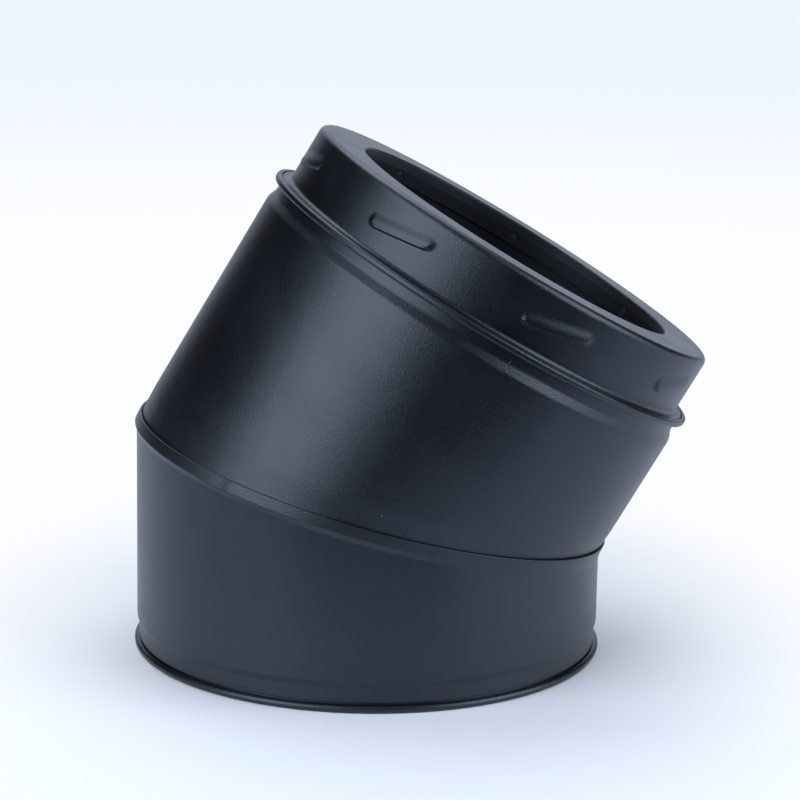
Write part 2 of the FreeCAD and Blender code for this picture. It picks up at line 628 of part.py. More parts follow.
def make_liner_upper():
    """Upper gore of the liner, a plain tube up to the male coupler's lip."""
    sheet_tube = tube("LinerUpperTube", "Sizes.liner_bore", LINER_RADIUS, FAR_LOW, LINER_TOP)
    place_on_upper_leg(sheet_tube)
    return [cut_to_slab("liner_upper", sheet_tube, "0", FAR_ABOVE)]


def make_male_coupler():
    """Male coupler: flange in the hem, collar with ramps, end face and the lip inside the liner."""
    body = turned_body("male_coupler", male_coupler_outline())
    add_ramps(body, "(Sizes.upper_leg - Sizes.ramp_set_back)",
              "Sizes.collar_radius - Sizes.coupler_wall", "Sizes.collar_radius + Sizes.ramp_rise")
    weld_height = "Sizes.upper_leg - Sizes.weld_set_back"
    add_weld_holes(body, weld_height, "Sizes.mouth_radius - Sizes.coupler_wall")
    place_on_upper_leg(body)
    root = "Sizes.liner_bore - Sizes.weld_root"
    welds = weld_group("mouth_welds", weld_height, root,
                       f"{root} - Sizes.mouth_radius - Sizes.weld_dimple", True)
    place_on_upper_leg(welds)
    return [body, welds]


def make_female_coupler():
    """Female coupler: doubled flange in the foot bead, socket wall with ramps, web and liner sleeve."""
    body = turned_body("female_coupler", female_coupler_outline())
    mate_ramp = "(Sizes.socket_depth - Sizes.ramp_set_back)"
    height = f"({mate_ramp} - Sizes.ramp_width - Sizes.lock_play)"
    add_ramps(body, height, "Sizes.socket_radius - Sizes.ramp_rise",
              "Sizes.socket_radius + Sizes.coupler_wall")
    weld_height = f"{SLEEVE_TOP} - Sizes.weld_set_back"
    add_weld_holes(body, weld_height, f"{SLEEVE_BORE} - Sizes.coupler_wall")
    root = f"{LINER_RADIUS} + Sizes.weld_root"
    length = f"Sizes.sleeve_clearance + Sizes.coupler_wall - Sizes.weld_root - Sizes.weld_dimple"
    welds = weld_group("foot_welds", weld_height, root, length, False)
    return [body, welds]


def make_insulation():
    """Mineral wool between the liner and the casing, one wrap in each gore."""
    base = "Sizes.socket_depth + max(Sizes.coupler_wall; Sizes.sleeve_round) + Sizes.wool_clearance"
    top = f"Sizes.lower_leg + {REACH}"
    lower_wrap = tube("WoolLowerTube", WOOL_BORE, WOOL_RADIUS, base, top)
    lower = cut_to_slab("insulation_lower", lower_wrap, DEEP_BELOW, "0")
    upper_wrap = turned_body("WoolUpperWrap", [
        (WOOL_BORE, FAR_LOW),
        (WOOL_RADIUS, FAR_LOW),
        (WOOL_RADIUS, f"{STEP_LOW} - Sizes.wool_clearance"),
        (WOOL_COLLAR_RADIUS, f"{STEP_LOW} - Sizes.wool_clearance"),
        (WOOL_COLLAR_RADIUS, WOOL_TOP),
        (WOOL_BORE, WOOL_TOP),
    ])
    place_on_upper_leg(upper_wrap)
    upper = cut_to_slab("insulation_upper", upper_wrap, "0", FAR_ABOVE)
    return [lower, upper]


def check(things):
    """Stop if any object failed or any sub-part has no valid shape."""
    for thing in document.Objects:
        if "Invalid" in thing.State or "Error" in thing.State:
            raise RuntimeError(f"{thing.Name} failed: {thing.State}")
    for thing in things:
        if thing.Shape.isNull() or not thing.Shape.isValid() or not thing.Shape.Solids:
            raise RuntimeError(f"{thing.Label} has no valid shape")


def main():
    sub_parts = [
        *make_outer_casing_lower(),
        *make_outer_casing_upper(),
        *make_liner_lower(),
        *make_liner_upper(),
        *make_male_coupler(),
        *make_female_coupler(),
        *make_insulation(),
    ]
    document.recompute()
    check(sub_parts)
    os.makedirs("parts", exist_ok=True)
    for thing in sub_parts:
        thing.Shape.exportStep(f"parts/{thing.Label}.step")
        box = thing.Shape.BoundBox
        print(f"{thing.Label}: {len(thing.Shape.Solids)} solids, {thing.Shape.Volume:.0f} mm3, "
              f"z {box.ZMin:.2f} to {box.ZMax:.2f}")


main()
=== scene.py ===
"""Dresses the twin-wall flue elbow: coated casing gores, twist-lock couplers, liner, welds and studio."""

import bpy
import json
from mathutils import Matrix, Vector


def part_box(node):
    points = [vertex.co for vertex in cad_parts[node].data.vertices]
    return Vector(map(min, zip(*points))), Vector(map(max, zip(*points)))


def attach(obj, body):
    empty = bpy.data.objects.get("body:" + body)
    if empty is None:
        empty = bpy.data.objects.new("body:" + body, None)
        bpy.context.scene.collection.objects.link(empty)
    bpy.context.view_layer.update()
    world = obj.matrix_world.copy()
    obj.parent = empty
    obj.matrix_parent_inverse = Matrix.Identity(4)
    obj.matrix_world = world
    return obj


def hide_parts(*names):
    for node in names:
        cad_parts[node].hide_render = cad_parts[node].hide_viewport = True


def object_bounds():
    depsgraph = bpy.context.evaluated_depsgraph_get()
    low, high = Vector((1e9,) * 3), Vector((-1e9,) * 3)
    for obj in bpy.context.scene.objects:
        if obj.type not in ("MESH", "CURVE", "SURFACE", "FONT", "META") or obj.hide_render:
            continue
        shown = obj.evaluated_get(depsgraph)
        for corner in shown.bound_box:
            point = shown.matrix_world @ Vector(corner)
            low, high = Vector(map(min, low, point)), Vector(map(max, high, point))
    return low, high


bl_info = {
    "name": "Flue Elbow Dressing",
    "version": (1, 0, 0),
    "blender": (4, 5, 0),
    "location": "View3D > Sidebar > Flue Elbow",
    "description": "Models and finishes the sheet-metal pieces of an insulated flue elbow",
    "category": "Object",
}

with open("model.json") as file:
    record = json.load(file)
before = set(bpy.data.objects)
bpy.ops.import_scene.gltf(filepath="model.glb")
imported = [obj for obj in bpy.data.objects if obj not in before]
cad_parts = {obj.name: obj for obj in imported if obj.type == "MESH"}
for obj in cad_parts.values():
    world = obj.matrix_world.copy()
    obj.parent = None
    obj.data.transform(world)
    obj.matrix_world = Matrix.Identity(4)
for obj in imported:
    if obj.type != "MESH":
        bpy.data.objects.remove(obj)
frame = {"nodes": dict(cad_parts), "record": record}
CAD_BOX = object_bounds()

import json
import math

import bmesh
import bpy
from mathutils import Matrix, Quaternion, Vector

MM = 0.001
SECTOR_STEPS = 18  # faces in the first sector of a turned piece
ARC_STEP = math.radians(12)  # longest step round an arc
PLAY = 0.1 * MM  # between pieces that fit into each other
BELOW_MITRE = 6 * MM  # from here up a lower gore's rings are parallel to the mitre
ABOVE_MITRE = 2 * MM  # from here down an upper gore's rings are parallel to the mitre
PEEL_HEIGHT = 0.085 * MM
GRAIN_HEIGHT = 0.045 * MM
DENT_HEIGHT = 0.35 * MM
SOFTBOX_DISTANCE = 2.4


# --- the two legs, from the frame --------------------------------------------------------------------------

def mount(name):
    """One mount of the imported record."""
    return next(item for item in frame["record"]["mounts"] if item["name"] == name)


class Legs:
    """The two legs: their lengths to where the axes meet, the mitre's lean and the upper leg's place."""

    def __init__(self):
        end = Vector(mount("male_twist_lock")["pos_m"])
        axis = Vector(mount("male_twist_lock")["axis"]).normalized()
        self.upper = end.x / axis.x
        self.lower = end.z - self.upper * axis.z
        bend = math.atan2(axis.x, axis.z)
        self.lean = math.tan(bend / 2)
        self.place = Matrix.Translation((0, 0, self.lower)) @ Matrix.Rotation(bend, 4, "Y")


LEGS = Legs()
MOUTH_RADIUS = mount("flue_mouth")["dims"]["r_mm"] * MM
SPIGOT_RADIUS = mount("flue_spigot")["dims"]["r_mm"] * MM
HEM_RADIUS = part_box("outer_casing_upper")[1].y
FOOT_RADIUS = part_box("outer_casing_lower")[1].y
SPIGOT_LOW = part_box("liner_lower")[0].z
SLEEVE_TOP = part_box("female_coupler")[1].z


# --- settings ----------------------------------------------------------------------------------------------

def length(label, description, millimetres):
    """A length shown in the panel, given in millimetres and kept in metres."""
    return bpy.props.FloatProperty(name=label, description=description, default=millimetres * MM,
                                   unit="LENGTH", precision=5)


def turn(label, description, degrees):
    """An angle shown in the panel."""
    return bpy.props.FloatProperty(name=label, description=description, default=math.radians(degrees),
                                   subtype="ANGLE", unit="ROTATION")


def share(label, description, default, top=1.0):
    """A plain factor shown in the panel."""
    return bpy.props.FloatProperty(name=label, description=description, default=default, min=0.0, max=top)


def colour(label, description, default):
    """A linear colour shown in the panel."""
    return bpy.props.FloatVectorProperty(name=label, description=description, default=default,
                                         size=3, subtype="COLOR", min=0.0, max=1.0)


class CasingSizes(bpy.types.PropertyGroup):
    """Sheet sizes of the two casing gores."""

    radius: length("Casing radius", "Outside radius of both gores", 100.0)
    wall: length("Casing sheet", "Thickness of the casing sheet", 0.8)
    rim_rise: length("Rim rise", "How far the lapped rim stands out", 0.75)
    rim_lap: length("Rim lap", "Rim above the mitre, along the leg", 4.1)
    shoulder_top: length("Shoulder top", "Mitre down to the top of the rim's shoulder", 0.8)
    shoulder_width: length("Shoulder width", "Slope of the rim's shoulder", 2.2)
    neck_depth: length("Neck depth", "How far the neck is drawn in", 1.75)
    neck_length: length("Neck length", "Straight neck under the hem", 4.3)
    step_length: length("Neck slope", "Slope from the casing to the neck", 4.2)
    step_round: length("Slope round", "Rounds at both ends of the neck's slope", 4.5)
    hem_thickness: length("Hem thickness", "Height of the folded hem", 3.0)
    hem_fold: length("Hem fold", "Round of the hem's outer fold", 1.1)
    hem_lap: length("Hem lap", "Width of the leaf folded over the flange", 2.1)
    hem_groove: length("Hem groove", "Groove between the leaf and the flange", 0.4)
    foot_thickness: length("Foot bead", "Height of the foot bead", 3.3)
    foot_lap: length("Foot lap", "Width of the leaf folded under", 2.6)
    foot_neck_depth: length("Foot neck depth", "How far the foot neck is drawn in", 0.9)
    foot_groove: length("Foot groove", "Depth and height of the groove above the foot bead", 0.7)
    foot_neck_length: length("Foot neck length", "Straight neck above the bead", 7.4)
    foot_step: length("Foot slope", "Slope from the foot neck to the casing", 2.2)
    seam_width: length("Seam width", "Width of the upper gore's seam weld", 0.6)
    seam_rise: length("Seam crown", "Crown of the seam weld", 0.04)
    upper_seam: turn("Upper seam", "Bearing of the upper gore's seam weld", -86.0)
    lower_seam: turn("Lower seam", "Bearing of the lower gore's seam weld", 94.0)


class CouplerSizes(bpy.types.PropertyGroup):
    """Sizes of the male and female couplers, their ramps and welds."""

    wall: length("Coupler sheet", "Thickness of the coupler sheet", 0.8)
    collar_radius: length("Collar radius", "Outside radius of the male collar", 95.5)
    collar_height: length("Collar height", "Hem to end face", 26.8)
    collar_round: length("Collar edge", "Outer edge of the end face", 3.0)
    flange_round: length("Flange round", "Foot of the collar", 1.9)
    mouth_round: length("Mouth edge", "Inner edge of the end face", 1.2)
    mouth_flare: length("Mouth flare", "How far the lip opens towards the end face", 0.5)
    lip_depth: length("Lip depth", "End face to the lip's edge", 10.0)
    ramp_length: length("Ramp length", "Length of a ramp round the collar", 32.0)
    ramp_width: length("Ramp width", "Width of a ramp along the axis", 7.4)
    ramp_rise: length("Ramp rise", "How far a ramp stands out", 0.95)
    ramp_set_back: length("Ramp set back", "End face to the middle of a ramp", 12.6)
    ramp_slope: turn("Ramp lead", "Lead of a ramp", 9.5)
    ramp_bearing: turn("Ramp bearing", "First ramp's bearing", 10.6)
    ramp_count: bpy.props.IntProperty(name="Ramps", description="Ramps round a coupler", default=8, min=1)
    socket_radius: length("Socket radius", "Inside radius of the socket", 97.5)
    socket_depth: length("Socket depth", "Foot to the web", 28.0)
    socket_round: length("Socket corner", "Inside corner of the socket", 2.0)
    sleeve_round: length("Sleeve round", "Turn from the web into the sleeve", 3.0)
    weld_radius: length("Weld radius", "Radius of a plug weld", 2.0)
    weld_set_back: length("Weld set back", "End face or sleeve edge to the welds", 6.4)
    weld_bearing: turn("Weld bearing", "First weld's bearing", 30.3)
    weld_count: bpy.props.IntProperty(name="Welds", description="Welds round a liner end", default=7, min=1)


class LinerSizes(bpy.types.PropertyGroup):
    """Sizes of the inner liner."""

    bore: length("Liner bore", "Inside radius of the liner", 75.0)
    wall: length("Liner sheet", "Thickness of the liner sheet", 0.6)
    top_gap: length("Liner top", "Upper edge below the end face", 3.0)
    taper_start: length("Taper start", "Web up to the spigot's taper", 2.0)
    taper_length: length("Taper", "Length of the spigot's taper", 4.0)
    rim_rise: length("Liner rim", "How far the liner's lapped rim stands out", 0.8)


class FinishColours(bpy.types.PropertyGroup):
    """Colours of the finishes and of the studio."""

    coat: colour("Coat", "Black powder coat", (0.0016, 0.0019, 0.0028))
    coat_worn: colour("Coat, lighter", "Where the coat is rubbed or thin", (0.0042, 0.0048, 0.0064))
    sheen: colour("Gloss tint", "Tint of the coat's own gloss", (0.68, 0.8, 1.0))
    # Dimmed gloss tint of the liner finish; on the inside of the male coupler's lip this dimming is painted
    # shade.
    liner_sheen_and_lip_shade: colour("Liner gloss tint", "Tint of the liner's own gloss", (0.3, 0.35, 0.44))
    liner: colour("Liner", "Coated inside of the flue", (0.0018, 0.0021, 0.003))
    weld: colour("Weld", "Plug welds under the coat", (0.0035, 0.004, 0.005))
    wool: colour("Wool", "Mineral wool", (0.42, 0.36, 0.2))
    wool_binder_and_shade: colour("Wool, dark", "Binder and shadow in the wool", (0.2, 0.16, 0.08))
    dust: colour("Dust", "Dust specks", (0.3, 0.31, 0.33))
    floor: colour("Floor", "Pale studio floor", (0.79, 0.83, 0.93))
    backdrop: colour("Backdrop", "Bright sweep behind the elbow", (0.98, 0.99, 1.0))
    far_backdrop: colour("Far backdrop", "The sweep further away", (0.87, 0.92, 1.0))
    mirrored: colour("Mirrored backdrop", "Bluish backdrop that the coat mirrors", (0.76, 0.81, 1.0))
    lamp: colour("Lamps", "Colour of the softboxes", (0.88, 0.94, 1.0))


class StudioSettings(bpy.types.PropertyGroup):
    """Camera, lamps and world."""

    azimuth: turn("Azimuth", "Camera bearing, from straight in front", -3.297)
    elevation: turn("Elevation", "Camera height above the horizon", 12.857)
    distance: length("Distance", "Camera to the point it looks at", 1162.7)
    roll: turn("Roll", "Camera turned about its own axis", 1.082)
    lens: bpy.props.FloatProperty(name="Lens", description="Focal length", default=121.62, unit="CAMERA")
    aim: bpy.props.FloatVectorProperty(name="Aim", description="Point the camera looks at",
                                       default=(0.01276, -0.00025, 0.10694), size=3,
                                       subtype="TRANSLATION", unit="LENGTH")
    key_level: share("Key softbox", "Brightness of the large softbox", 3.6, top=20.0)
    side_level: share("Side softbox", "Brightness of the side softbox", 3.6, top=20.0)
    top_level: share("Top softbox", "Brightness of the softbox above", 2.5, top=20.0)
    world_level: share("World level", "Strength of the even light", 0.3)
    table_edge: length("Table edge", "Where the bright floor ends in front of the elbow", 247.0)


# --- outlines ----------------------------------------------------------------------------------------------

def rounded(corners):
    """A closed outline through corners of (radius, height) or (radius, height, round), the rounds as arcs."""
    places = [Vector(corner[:2]) for corner in corners]
    points = []
    for number, place in enumerate(places):
        size = corners[number][2] if len(corners[number]) > 2 else 0.0
        if not size:
            points.append(place)
            continue
        before = (places[number - 1] - place).normalized()
        after = (places[(number + 1) % len(places)] - place).normalized()
        opening = before.angle(after)
        setback = size / math.tan(opening / 2)
        centre = place + (before + after).normalized() * (size / math.sin(opening / 2))
        start = place + before * setback - centre
        swing = (place + after * setback - centre).angle_signed(start)
        pieces = max(2, math.ceil(abs(swing) / ARC_STEP))
        for step in range(pieces + 1):
            points.append(centre + Matrix.Rotation(swing * step / pieces, 2) @ start)
    return points


def spaced(points, gaps):
    """The same closed outline with long straight stretches divided; gaps(point) is the longest step there."""
    result = []
    for number, point in enumerate(points):
        way = points[(number + 1) % len(points)] - point
        steps = [0.0]
        while steps[-1] < way.length - 0.001 * MM:
            steps.append(steps[-1] + gaps(point + way.normalized() * steps[-1]))
        result += [point + way * (step / steps[-1]) for step in steps[:-1]]
    return result


def spun(points, doublings=4):
    """A closed outline turned a full circle about Z: a sector is spun and doubled until the circle closes."""
    bm = bmesh.new()
    corners = [bm.verts.new((point.x, 0.0, point.y)) for point in points]
    edges = [bm.edges.new((corners[number - 1], corner)) for number, corner in enumerate(corners)]
    sector = math.tau / 2 ** doublings
    bmesh.ops.spin(bm, geom=corners + edges, cent=(0, 0, 0), axis=(0, 0, 1), dvec=(0, 0, 0), angle=sector,
                   steps=SECTOR_STEPS, use_merge=False, use_normal_flip=False, use_duplicate=False)
    for _ in range(doublings):
        copied = bmesh.ops.duplicate(bm, geom=bm.verts[:] + bm.edges[:] + bm.faces[:])["geom"]
        fresh = [item for item in copied if isinstance(item, bmesh.types.BMVert)]
        bmesh.ops.rotate(bm, verts=fresh, cent=(0, 0, 0), matrix=Matrix.Rotation(sector, 3, "Z"))
        sector *= 2
    bmesh.ops.remove_doubles(bm, verts=bm.verts, dist=0.01 * MM)
    bmesh.ops.recalc_face_normals(bm, faces=bm.faces)
    return bm


def smoothstep(low, high, number):
    """0 below low, 1 above high and smooth between; low may be the larger."""
    share_of = min(1.0, max(0.0, (number - low) / (high - low)))
    return share_of * share_of * (3 - 2 * share_of)


def past_nearest(spot, first, count):
    """Angle from the nearest of count places, spread evenly round Z from a first bearing, to a point."""
    pitch = math.tau / count
    return (math.atan2(spot.y, spot.x) - first + pitch / 2) % pitch - pitch / 2


def lean_below(bm, free_below):
    """Shear the rings of an upright tube onto planes parallel to the mitre, more and more above free_below,
    and carry what lies above the mitre onto the upper leg."""
    for vertex in bm.verts:
        above = vertex.co.z - LEGS.lower
        slope = vertex.co.x * LEGS.lean
        if above > 0:
            vertex.co = LEGS.place @ Vector((vertex.co.x, vertex.co.y, above + slope))
        else:
            vertex.co.z -= slope * smoothstep(free_below, LEGS.lower - BELOW_MITRE, vertex.co.z)


def lean_above(bm, free_above):
    """Shear the low rings of an upper tube onto the mitre plane and stand the tube on the upper leg."""
    for vertex in bm.verts:
        vertex.co.z += vertex.co.x * LEGS.lean * smoothstep(free_above, ABOVE_MITRE, vertex.co.z)
    bmesh.ops.transform(bm, matrix=LEGS.place, verts=bm.verts)


def finished(bm, name, material, replaced, sharp=32.0, lining=None):
    """Turn a bmesh into a piece that rides on the elbow and stands for its CAD nodes; lining is the finish of
    the faces with material index 1."""
    for face in bm.faces:
        face.smooth = True
    for edge in bm.edges:
        edge.smooth = edge.is_manifold and edge.calc_face_angle(0.0) < math.radians(sharp)
    mesh = bpy.data.meshes.new(name)
    bm.to_mesh(mesh)
    bm.free()
    mesh.materials.append(material)
    if lining:
        mesh.materials.append(lining)
    piece = bpy.data.objects.new(name, mesh)
    bpy.context.scene.collection.objects.link(piece)
    normals = piece.modifiers.new("Weighted normals", "WEIGHTED_NORMAL")
    normals.keep_sharp = True
    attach(piece, "root")
    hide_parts(*replaced)


# --- shader node groups ------------------------------------------------------------------------------------

class Graph:
    """A node tree that is filled by short calls."""

    def __init__(self, tree):
        self.tree = tree

    def add(self, kind, sockets=None, **settings):
        """A node with its settings; sockets maps an input's name or number to a value or an output."""
        made = self.tree.nodes.new(kind)
        for key, setting in settings.items():
            setattr(made, key, setting)
        for key, source in (sockets or {}).items():
            if isinstance(source, bpy.types.NodeSocket):
                self.tree.links.new(source, made.inputs[key])
            else:
                made.inputs[key].default_value = source
        return made

    def noise(self, place, scale, detail=2.0, roughness=0.5, distortion=0.0):
        """Fractal noise from 0 to 1 at a scale in features per metre."""
        sockets = {"Vector": place, "Scale": scale, "Detail": detail, "Roughness": roughness,
                   "Distortion": distortion}
        return self.add("ShaderNodeTexNoise", sockets).outputs["Fac"]

    def ramp(self, source, low, high, to_low=0.0, to_high=1.0):
        """A value carried smoothly from one range to another."""
        sockets = {"Value": source, "From Min": low, "From Max": high, "To Min": to_low, "To Max": to_high}
        return self.add("ShaderNodeMapRange", sockets, interpolation_type="SMOOTHSTEP").outputs["Result"]

    def math(self, operation, first, second=0.0):
        """One arithmetic step."""
        return self.add("ShaderNodeMath", {0: first, 1: second}, operation=operation).outputs[0]

    def blend(self, factor, first, second):
        """A colour between two."""
        return self.add("ShaderNodeMix", {0: factor, 6: first, 7: second}, data_type="RGBA").outputs[2]

    def rays(self):
        """1 for rays from the camera, and 1 for rays that are mirrored or pass through."""
        light = self.add("ShaderNodeLightPath").outputs
        mirrored = self.math("MAXIMUM", light["Is Glossy Ray"], light["Is Transmission Ray"])
        return light["Is Camera Ray"], mirrored


def node_group(name, inputs, outputs):
    """A shader node group of values, ready to fill: the graph, its input sockets and its output sockets."""
    tree = bpy.data.node_groups.new(name, "ShaderNodeTree")
    for label, default in inputs.items():
        socket = tree.interface.new_socket(name=label, in_out="INPUT", socket_type="NodeSocketFloat")
        socket.default_value = default
    for label in outputs:
        tree.interface.new_socket(name=label, in_out="OUTPUT", socket_type="NodeSocketFloat")
    graph = Graph(tree)
    return graph, graph.add("NodeGroupInput").outputs, graph.add("NodeGroupOutput").inputs


def coat_texture_group():
    """Skin of a sprayed powder coat: orange peel, fine grain, uneven gloss and slight dents in the sheet."""
    graph, given, out = node_group(
        "Coat texture",
        {"Peel size": 1250.0, "Grain size": 1900.0, "Peel": 1.0, "Grain": 1.0, "Dents": 1.0},
        ["Height", "Gloss loss", "Tone"],
    )
    place = graph.add("ShaderNodeTexCoord").outputs["Object"]
    peel = graph.noise(place, given["Peel size"], detail=2.0, roughness=0.55)
    grain = graph.noise(place, given["Grain size"], detail=3.0, roughness=0.7)
    dents = graph.noise(place, 16.0, detail=1.0, roughness=0.4)
    peel_height = graph.math("MULTIPLY", peel, graph.math("MULTIPLY", given["Peel"], PEEL_HEIGHT))
    grain_height = graph.math("MULTIPLY", grain, graph.math("MULTIPLY", given["Grain"], GRAIN_HEIGHT))
    dent_height = graph.math("MULTIPLY", dents, graph.math("MULTIPLY", given["Dents"], DENT_HEIGHT))
    height = graph.math("ADD", graph.math("ADD", peel_height, grain_height), dent_height)
    cloud = graph.noise(place, 34.0, detail=4.0, roughness=0.6, distortion=0.4)
    graph.tree.links.new(height, out["Height"])
    graph.tree.links.new(graph.ramp(cloud, 0.3, 0.75), out["Gloss loss"])
    graph.tree.links.new(graph.ramp(grain, 0.45, 0.75), out["Tone"])
    return graph.tree


def dust_group():
    """Sparse dust specks and paint nibs: a mask that is 1 on each speck."""
    graph, given, out = node_group(
        "Dust specks",
        {"Cell size": 60.0, "Speck size": 0.014, "Amount": 0.15},
        ["Mask"],
    )
    place = graph.add("ShaderNodeTexCoord").outputs["Object"]
    cells = graph.add("ShaderNodeTexVoronoi", {"Vector": place, "Scale": given["Cell size"]})
    lot = graph.add("ShaderNodeSeparateColor", {0: cells.outputs["Color"]}).outputs[0]
    chosen = graph.math("LESS_THAN", lot, given["Amount"])
    near = graph.math("LESS_THAN", cells.outputs["Distance"], given["Speck size"])
    graph.tree.links.new(graph.math("MULTIPLY", chosen, near), out["Mask"])
    return graph.tree


def new_material(name):
    """A material with a Principled shader and a linked Bump node."""
    material = bpy.data.materials.new(name)
    material.use_nodes = True
    graph = Graph(material.node_tree)
    shader = material.node_tree.nodes["Principled BSDF"]
    bump = graph.add("ShaderNodeBump", {"Strength": 1.0, "Distance": 1.0})
    material.node_tree.links.new(bump.outputs["Normal"], shader.inputs["Normal"])
    return material, graph, shader, bump


def coat_material(name, groups, colours, base, roughness, peel, dents, sheen):
    """Powder-coated sheet: uneven tone and gloss, orange peel, grain and a few dust specks."""
    spread = 0.02
    worn = (*colours.coat_worn, 1)
    material, graph, shader, bump = new_material(name)
    texture = graph.add("ShaderNodeGroup", {"Peel": peel, "Dents": dents}, node_tree=groups["coat"])
    specks = graph.add("ShaderNodeGroup", node_tree=groups["dust"])
    tone = graph.blend(graph.ramp(texture.outputs["Gloss loss"], 0.0, 1.0, 0.0, 0.35), (*base, 1), worn)
    tone = graph.blend(graph.math("MULTIPLY", texture.outputs["Tone"], 0.25), tone, worn)
    tone = graph.blend(graph.math("MULTIPLY", specks.outputs["Mask"], 0.5), tone, (*colours.dust, 1))
    gloss = graph.ramp(texture.outputs["Gloss loss"], 0.0, 1.0, roughness - spread, roughness + spread)
    gloss = graph.math("ADD", gloss, graph.math("MULTIPLY", texture.outputs["Tone"], 0.12))
    gloss = graph.math("ADD", gloss, graph.math("MULTIPLY", specks.outputs["Mask"], 0.3))
    links = material.node_tree.links
    links.new(tone, shader.inputs["Base Color"])
    links.new(gloss, shader.inputs["Roughness"])
    links.new(texture.outputs["Height"], bump.inputs["Height"])
    shader.inputs["IOR"].default_value = 1.65
    shader.inputs["Specular Tint"].default_value = (*sheen, 1)
    return material


def wool_material(colours):
    """Mineral wool: matted fibres with darker binder between them, plus painted shade between fibres and
    clumps.
    """
    material, graph, shader, bump = new_material("Mineral wool")
    place = graph.add("ShaderNodeTexCoord").outputs["Object"]
    fibres = graph.noise(place, 900.0, detail=6.0, roughness=0.75, distortion=1.5)
    clumps = graph.noise(place, 70.0, detail=3.0)
    # Darker between fibres and in clumps: binder colour and painted shade.
    tone = graph.blend(graph.ramp(fibres, 0.35, 0.7), (*colours.wool_binder_and_shade, 1), (*colours.wool, 1))
    tone = graph.blend(graph.ramp(clumps, 0.4, 0.8, 0.0, 0.4), tone, (*colours.wool_binder_and_shade, 1))
    fibre_height = graph.math("MULTIPLY", fibres, 0.5 * MM)
    height = graph.math("ADD", fibre_height, graph.math("MULTIPLY", clumps, 1.5 * MM))
    links = material.node_tree.links
    links.new(tone, shader.inputs["Base Color"])
    links.new(graph.ramp(fibres, 0.0, 1.0, 0.85, 1.0), shader.inputs["Roughness"])
    links.new(height, bump.inputs["Height"])
    return material


def make_materials():
    """Every finish of the elbow, by name."""
    colours = bpy.context.scene.flue_colours
    groups = {"coat": coat_texture_group(), "dust": dust_group()}

    def coated(name, base, roughness=0.35, peel=1.0, dents=1.0, sheen=colours.sheen):
        return coat_material(name, groups, colours, base, roughness, peel, dents, sheen)

    return {
        "casing": coated("Satin coat, casing", colours.coat),
        "coupler": coated("Satin coat, coupler", colours.coat, dents=0.4),
        "liner": coated("Matt coat, liner; painted shade in the lip", colours.liner, roughness=0.5, dents=0.6,
                        sheen=colours.liner_sheen_and_lip_shade),
        "weld": coated("Coat over welds", colours.weld, roughness=0.46, peel=2.5, dents=0.0),
        "wool": wool_material(colours),
    }


MATERIALS = {}


def finish(name):
    """One finish, made with all the others when it is first asked for."""
    if not MATERIALS:
        MATERIALS.update(make_materials())
    return MATERIALS[name]


# --- pieces ------------------------------------------------------------------------------------------------

def hem_levels(sizes, coupler):
    """Heights on the upper leg: hem top, hem underside, neck's lower end and foot of the neck's slope."""
    top = LEGS.upper - coupler.collar_height
    low = top - sizes.hem_thickness
    neck = low - sizes.neck_length
    return top, low, neck, neck - sizes.step_length


def lower_casing(sizes):
    """Lower gore: foot bead, foot neck, wall and the rim that laps over the upper gore."""
    wall = sizes.wall
    radius = sizes.radius
    neck = radius - sizes.foot_neck_depth
    bead = sizes.foot_thickness
    groove = sizes.foot_groove
    neck_top = bead + sizes.foot_neck_length
    step_top = neck_top + sizes.foot_step
    rim = radius + sizes.rim_rise
    rim_top = LEGS.lower + sizes.rim_lap
    shoulder_top = LEGS.lower - sizes.shoulder_top
    shoulder_low = shoulder_top - sizes.shoulder_width
    fold = bead / 2 - 0.05 * MM
    edge_round = 0.3 * MM
    groove_round = 0.2 * MM
    step_round = 3.0 * MM
    shoulder_round = 1.8 * MM
    points = rounded([
        (FOOT_RADIUS - sizes.foot_lap, 0.0, edge_round),
        (FOOT_RADIUS, 0.0, fold),
        (FOOT_RADIUS, bead, fold),
        (neck - groove, bead, groove_round),
        (neck - groove, bead + groove, groove_round),
        (neck, bead + groove + groove_round, groove_round),
        (neck, neck_top, step_round),
        (radius, step_top, step_round),
        (radius, shoulder_low, shoulder_round),
        (rim, shoulder_top, shoulder_round),
        (rim, rim_top, edge_round),
        (rim - wall, rim_top, 0.1 * MM),
        (rim - wall, shoulder_top, 1.0 * MM),
        (radius - wall, shoulder_low, 0.5 * MM),
        (radius - wall, step_top, edge_round),
        (neck - wall, neck_top, edge_round),
        (neck - wall, bead - wall, 1.3 * MM),
        (FOOT_RADIUS - wall, bead - wall, fold - wall),
        (FOOT_RADIUS - wall, wall, fold - wall),
        (FOOT_RADIUS - sizes.foot_lap, wall, edge_round),
    ])
    bm = spun(spaced(points, lambda middle: 6 * MM))
    joint = math.radians(-128)
    joint_step = 0.3 * MM
    joint_fade = math.radians(16)
    for vertex in bm.verts:
        if vertex.co.z > shoulder_top and vertex.co.xy.length > rim - wall / 2:
            past = (joint - math.atan2(vertex.co.y, vertex.co.x)) % math.tau
            vertex.co.xy *= 1 - joint_step / radius * (1 - smoothstep(0.0, joint_fade, past))
    lean_below(bm, step_top + 4 * MM)
    finished(bm, "lower_casing", finish("casing"), ["outer_casing_lower"])


